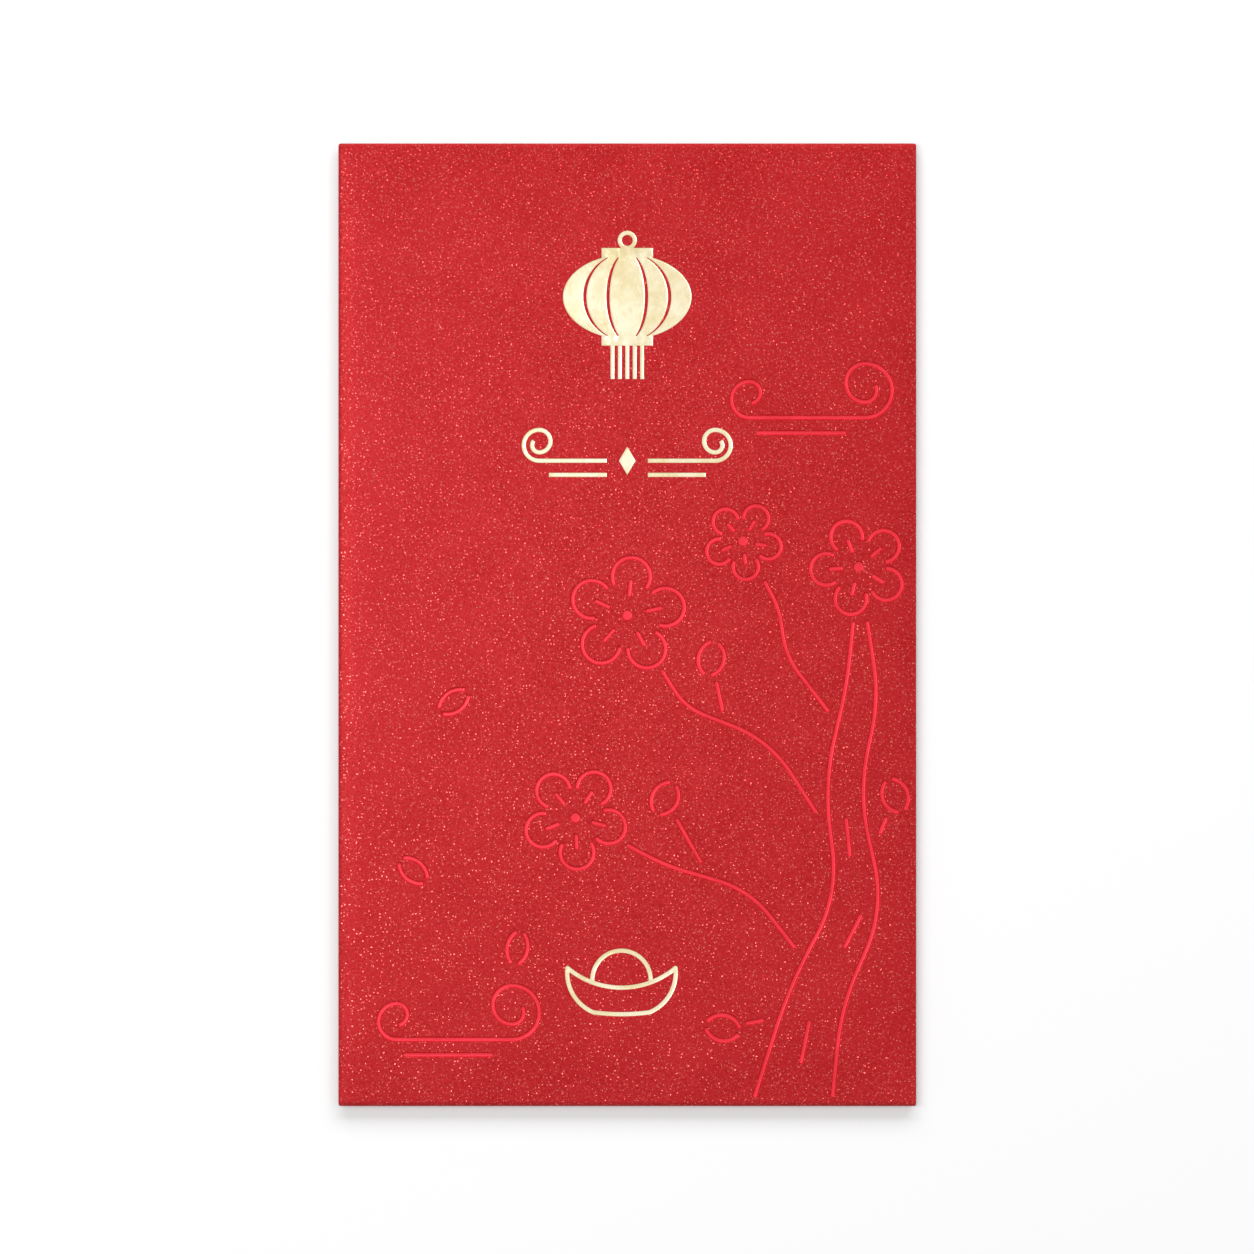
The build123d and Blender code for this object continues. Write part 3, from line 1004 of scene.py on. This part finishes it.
@dataclass
class PressedFace:
    """The front of the packet, with each stamped mark pressed into the paper."""

    blank: Blank
    stamps: tuple[Stamp, ...]
    lip: float = 0.1 * MM
    wall: float = 0.14 * MM
    film_up: float = 0.015 * MM
    film_down: float = 0.01 * MM
    spacing: float = 0.4 * MM
    rows: tuple[float, ...] = tuple(row * MM for row in (0.18, 0.1, 0.05, -0.05, -0.1, -0.14, -0.21))
    row_slack: float = 0.008 * MM
    clear: float = 0.3 * MM
    border: Array = field(init=False)
    border_rows: Array = field(init=False)
    points: Array = field(init=False)
    faces: Array = field(init=False)
    level: Array = field(init=False)
    owner: Array = field(init=False)
    stamped: Array = field(init=False)

    def __post_init__(self) -> None:
        """Cover the face with triangles that follow the marks, and press the marks down."""
        blank, edges = self.blank, MarkEdges(self.stamps, self.spacing)
        xs, ys = blank.x_stations, blank.y_stations[:-1]
        self.border = np.vstack([
            on_line(1, ys[0], xs[:-1]), on_line(0, xs[-1], ys[:-1]),
            on_line(1, ys[-1], xs[:0:-1]), on_line(0, xs[0], ys[:0:-1]),
        ])
        low, high = self.border.min(axis=0), self.border.max(axis=0)
        rows = [np.clip(self.border, low + row, high - row) for row in blank.edge_rows]
        self.border_rows = np.unique(np.vstack(rows), axis=0)
        flat = len(blank.edge_rows) + 1
        grid = np.stack(np.meshgrid(xs[flat:-flat], ys[1:-1]), axis=-1).reshape(-1, 2)
        plain = np.vstack([self.border_rows, grid])
        plain = plain[np.abs(edges.measure(plain)[0]) > self.clear]
        inside = np.vstack([edges.points, plain, edges.beside(self.rows, self.row_slack)])
        first = len(self.border)
        creases = [(first + a, first + int(b)) for a, b in enumerate(edges.ahead)]
        self.points, faces = fill(self.border, inside, creases)
        self.faces = np.array(faces)
        distance, owner = edges.measure(self.points)
        pressed = np.array([stamp.die.depth for stamp in self.stamps])[owner]
        share = np.clip((self.lip - distance) / (self.lip + self.wall), 0, 1)
        self.level = blank.face + blank.lift(self.points) - pressed * share**2 * (3 - 2 * share)
        middle, self.owner = edges.measure(self.points[self.faces].mean(axis=1))
        self.stamped = middle < 0

    def add_to(self, sheet: PaperSheet) -> None:
        """Give the face to the sheet, with a plain inside.

        Args:
            sheet: the sheet that takes it.
        """
        blank = self.blank
        inner, inner_faces = fill(self.border, self.border_rows)
        sheet.add(
            at_level(self.points, self.level),
            at_level(inner, blank.face - blank.paper + blank.lift(inner)),
            [tuple(face) for face in self.faces.tolist()], inner_faces, len(self.border),
        )

    def build_film(self, number: int) -> Object:
        """Make one stamp's film, lying in the marks that it pressed.

        Args:
            number: the stamp's number.

        Returns:
            The film.
        """
        stamp = self.stamps[number]
        used, faces = np.unique(self.faces[self.stamped & (self.owner == number)], return_inverse=True)
        faces = [tuple(face) for face in faces.reshape(-1, 3).tolist()]
        places, level, count = self.points[used], self.level[used], len(used)
        edges = {edge for a, b, c in faces for edge in ((a, b), (b, c), (c, a))}
        walls = [(b, a, a + count, b + count) for a, b in sorted(edges) if (b, a) not in edges]
        under = [(c + count, b + count, a + count) for a, b, c in faces]
        points = np.vstack([at_level(places, level + off) for off in (self.film_up, -self.film_down)])
        film = new_piece(stamp.piece, points, faces + under + walls, (stamp.die.finish,))
        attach(film, "packet")
        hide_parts(stamp.node)
        return film


def corner_dome(blank: Blank, side: Fold, end: Fold) -> list[Array]:
    """Round off a corner of the face between two folds.

    Args:
        blank: the sheet's sizes.
        side: the fold along the left or right edge.
        end: the fold along the bottom or top edge.

    Returns:
        Points of the outside and the inside, by row and column.
    """
    quarter = np.linspace(0, math.pi / 2, side.steps // 2 + 1)
    turn, spread = np.meshgrid(quarter, quarter, indexing="ij")
    over, down = np.cos(spread) ** 2, np.sin(spread) ** 2
    patch = []
    for depth in (0.0, blank.paper):
        x = side.line + side.way * side.reach(turn, depth) * over ** (1 / CORNER_POWER)
        y = end.line + end.way * end.reach(turn, depth) * down ** (1 / CORNER_POWER)
        z = blank.face - side.drop(turn, depth) * over - end.drop(turn, depth) * down
        patch.append(np.stack([x, y, z], axis=-1))
    return patch


@dataclass
class Pocket:
    """The folded and glued pocket: one sheet from the side tab round the front to the back."""

    blank: Blank
    face: PressedFace
    panel_spacing: float = 6 * MM
    fold_row: float = 0.5 * MM

    def add_fold(self, sheet: PaperSheet, fold: Fold, panel: str, stations: Array) -> None:
        """Add the fold along an edge of the face.

        Args:
            sheet: the sheet that takes it.
            fold: the fold.
            panel: CAD node of the panel that the fold leads to.
            stations: places along the fold where it has points.
        """
        blank, edge = self.blank, upper_outlines(panel)[0]
        joined = edge[np.abs(edge[:, fold.axis] - fold.line) < WELD][:, 1 - fold.axis]
        ends = joined.min(), joined.max()
        sheet.add_grid(*(
            np.stack(fold.rows(stations, ends, blank.face, depth)) for depth in (0.0, blank.paper)
        ))

    def add_panel(self, sheet: PaperSheet, fold: Fold, panel: str, stations: Array) -> None:
        """Add a flat panel behind the front, as the CAD outlines it.

        Args:
            sheet: the sheet that takes it.
            fold: the fold that leads to it.
            panel: the panel's CAD node.
            stations: places along the fold where it has points.
        """
        outline = upper_outlines(panel)[0]
        border, row = [], []
        for here, there in zip(outline, np.roll(outline, -1, axis=0)):
            joined = max(abs(here[fold.axis] - fold.line), abs(there[fold.axis] - fold.line)) < WELD
            span = np.linalg.norm(there - here)
            parts = np.linspace(0, 1, max(1, math.ceil(span / self.panel_spacing)) + 1)
            if joined:
                parts = shares_along(stations)
                if there[1 - fold.axis] < here[1 - fold.axis]:
                    parts = 1 - parts[::-1]
            run = [here + (there - here) * part for part in parts[:-1]]
            border += run
            if joined:
                inward = np.array([-(there - here)[1], (there - here)[0]]) / span
                row = [point + inward * self.fold_row for point in run[1:]]
        sheet.add_flat(panel, *fill(np.array(border), np.array(row)))

    def build(self) -> Object:
        """Build the pocket's sheet as one piece.

        Returns:
            The piece.
        """
        blank, sheet = self.blank, PaperSheet()
        folded = (
            (blank.left, "back_panel", blank.side_stations),
            (blank.right, "side_tab", blank.side_stations),
            (blank.bottom, "bottom_flap", blank.x_stations),
        )
        self.face.add_to(sheet)
        for fold, panel, stations in folded:
            self.add_fold(sheet, fold, panel, stations)
        for side in (blank.left, blank.right):
            sheet.add_grid(*corner_dome(blank, side, blank.bottom))
        for fold, panel, stations in folded:
            self.add_panel(sheet, fold, panel, stations)
        pocket = sheet.build("pocket_sheet")
        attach(pocket, "packet")
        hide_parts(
            "front_panel", "left_fold", "right_fold", "bottom_fold", "back_panel", "side_tab",
            "bottom_flap",
        )
        return pocket


def dress_node(node: str, finish: Finish) -> Object:
    """Give a CAD node that stays in view its finish.

    Args:
        node: the node's name.
        finish: the finish it takes.

    Returns:
        The node's object.
    """
    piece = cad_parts[node]
    piece.data.materials.clear()
    piece.data.materials.append(finish.material())
    return piece


@dataclass
class ClosingFlap:
    """The flap that closes the mouth: its crease, its sheet, and the peel-and-seal strip."""

    blank: Blank
    edge_spacing: float = 3 * MM

    def build_crease(self) -> Object:
        """Build the bent strip along the top edge.

        Returns:
            The strip.
        """
        blank, fold, sheet = self.blank, self.blank.crease, PaperSheet()
        xs, ends = blank.x_stations, (-blank.crease_end, blank.crease_end)
        leads = [blank.y_stations[-2], *(fold.line - row for row in reversed(blank.edge_rows))]
        flat, patch = [on_line(fold.axis, lead, xs) for lead in leads], []
        for depth in (0.0, blank.paper):
            rows = [at_level(places, blank.face - depth + blank.lift(places)) for places in flat]
            patch.append(np.stack(rows + fold.rows(xs, ends, blank.face, depth)))
        sheet.add_grid(*patch)
        for side in (blank.left, blank.right):
            sheet.add_grid(*corner_dome(blank, side, fold))
        crease = sheet.build("crease_strip")
        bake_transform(crease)
        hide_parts("flap_crease")
        return crease

    def build_flap(self) -> Object:
        """Build the flap itself, coated outside and plain inside.

        Returns:
            The flap.
        """
        sheet = PaperSheet()
        border = divide(upper_outlines("top_flap")[0], self.edge_spacing)
        sheet.add_flat("top_flap", *fill(border, np.empty((0, 2))))
        flap = sheet.build("flap_sheet")
        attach(flap, "top_flap")
        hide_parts("top_flap")
        return flap

    def dress_strip(self) -> list[Object]:
        """Give the tape and its liner their finishes."""
        return [dress_node("flap_tape", TAPE), dress_node("release_liner", LINER)]


@dataclass(frozen=True)
class Lamp:
    """A softbox: where it stands, how large it is and how bright its face is."""

    name: str
    place: tuple[float, float, float]
    width: float
    height: float
    radiance: float
    mirrored: bool = False

    def build(self) -> None:
        """Stand the softbox up, facing the middle of the packet."""
        data = bpy.data.lights.new(self.name, "AREA")
        data.shape = "RECTANGLE"
        data.size, data.size_y = self.width, self.height
        data.energy = math.pi * self.width * self.height * self.radiance
        lamp = bpy.data.objects.new(self.name, data)
        lamp.location = self.place
        lamp.rotation_euler = (-Vector(self.place)).to_track_quat("-Z", "Y").to_euler()
        lamp.visible_camera = False
        lamp.visible_glossy = self.mirrored
        bpy.context.scene.collection.objects.link(lamp)


@dataclass(frozen=True)
class FloorPaint(Finish):
    """A matt white table top.

    To the eye: plain white that keeps the soft shadow round the packet and melts into the backdrop.
    """

    colour: str = "#EEEEEE"
    lit_up: float = 0.195
    fade_from: float = 0.25
    fade_to: float = 0.9

    def paint(self, tree: NodeTree) -> dict:
        """Wire a white that only the camera sees lifted, up to the backdrop's white far away.

        Args:
            tree: the material's nodes.

        Returns:
            Inputs of its Principled shader.
        """
        place = add_node(tree, "TexCoord").outputs["Object"]
        away = add_node(tree, "VectorMath", {0: place}, operation="LENGTH")
        glow = add_node(
            tree, "MapRange",
            {"Value": away, "From Min": self.fade_from, "From Max": self.fade_to, "To Min": self.lit_up},
        )
        camera_ray = add_node(tree, "LightPath").outputs["Is Camera Ray"]
        seen = add_node(tree, "Math", {0: glow, 1: camera_ray}, operation="MULTIPLY")
        return {
            "Emission Strength": seen, "Emission Color": linear(WHITE), "Roughness": 1.0,
            "Base Color": linear(self.colour), "Specular IOR Level": 0.0,
        }


@dataclass
class Studio:
    """Camera, lamps, white surroundings and floor."""

    lamps: tuple[Lamp, ...] = (
        Lamp("softbox_key", (-0.28, 0.04, 0.68), 0.18, 0.4, 5.9, mirrored=True),
        Lamp("softbox_top", (0.14, 1.7, 0.91), 2.8, 0.73, 5.8),
        Lamp("softbox_left", (-1.0, 0.19, 0.95), 0.8, 0.6, 1.0),
        Lamp("softbox_right", (1.0, 0.19, 0.95), 0.8, 0.6, 1.3),
    )
    fill_light: float = 0.29
    frame_width: float = 195.15 * MM
    lens: float = 120.0
    sensor: float = 36.0
    aim: tuple[float, float] = (-0.04 * MM, -0.36 * MM)
    floor_size: float = 6.0
    floor_gap: float = 0.02 * MM

    def build_camera(self, face: float) -> None:
        """Hang the camera straight above the packet, as the photograph was taken.

        Args:
            face: level of the packet's face.
        """
        data = bpy.data.cameras.new("camera")
        data.lens, data.sensor_width = self.lens, self.sensor
        camera = bpy.data.objects.new("camera", data)
        camera.location = (*self.aim, face + self.frame_width * self.lens / self.sensor)
        bpy.context.scene.collection.objects.link(camera)
        bpy.context.scene.camera = camera

    def build_world(self) -> None:
        """Surround the packet with white, and with soft light at a plain level."""
        world = bpy.data.worlds.new("white_surround")
        world.use_nodes = True
        bpy.context.scene.world = world
        tree = world.node_tree
        rays = add_node(tree, "LightPath").outputs
        seen = rays["Is Camera Ray"]
        for ray in ("Is Glossy Ray", "Is Transmission Ray"):
            seen = add_node(tree, "Math", {0: seen, 1: rays[ray]}, operation="MAXIMUM")
        strength = add_node(tree, "MapRange", {"Value": seen, "To Min": self.fill_light})
        set_inputs(tree, tree.nodes["Background"], {"Color": linear(WHITE), "Strength": strength})

    def build_floor(self) -> None:
        """Lay the floor just under the packet."""
        half = self.floor_size / 2
        corners = np.array([(-half, -half), (half, -half), (half, half), (-half, half)])
        floor = new_piece(
            "floor", at_level(corners, -self.floor_gap), [(0, 1, 2, 3)], (FloorPaint("white_table_top"),)
        )

    def build(self, face: float) -> None:
        """Build the whole studio.

        Args:
            face: level of the packet's face.
        """
        bpy.context.scene.view_settings.view_transform = "Standard"
        self.build_camera(face)
        self.build_world()
        self.build_floor()
        for lamp in self.lamps:
            lamp.build()


GOLD_DIE = Die("gold_foil", GOLD, depth=0.08 * MM, end_radius=0.05 * MM)
RED_DIE = Die("red_foil", RED, depth=0.22 * MM, end_radius=0.3 * MM)
STAMPS = (
    Stamp("lantern_film", "foil_lantern", GOLD_DIE),
    Stamp("scroll_film", "foil_scrolls", GOLD_DIE),
    Stamp("ingot_film", "foil_ingot", GOLD_DIE),
    Stamp("blossom_film", "foil_blossoms", RED_DIE),
    Stamp("branch_film", "foil_branch", RED_DIE),
    Stamp("petal_film", "foil_petals", RED_DIE),
    Stamp("cloud_film", "foil_clouds", RED_DIE),
)


def main() -> None:
    """Build the envelope and its studio, and report each piece."""
    logging.basicConfig(level=logging.INFO, format="%(name)s: %(message)s")
    blank = Blank.from_frame()
    face = PressedFace(blank, STAMPS)
    flap = ClosingFlap(blank)
    pieces = [Pocket(blank, face).build()]
    pieces += [face.build_film(number) for number in range(len(STAMPS))]
    pieces += [flap.build_crease(), flap.build_flap(), *flap.dress_strip()]
    pieces += [dress_node(node, GLUE) for node in ("side_seam_glue", "bottom_flap_glue")]
    for piece in pieces:
        LOG.info("%s: %d faces", piece.name, len(piece.data.polygons))
    Studio().build(blank.face)


if __name__ == "__main__":
    main()
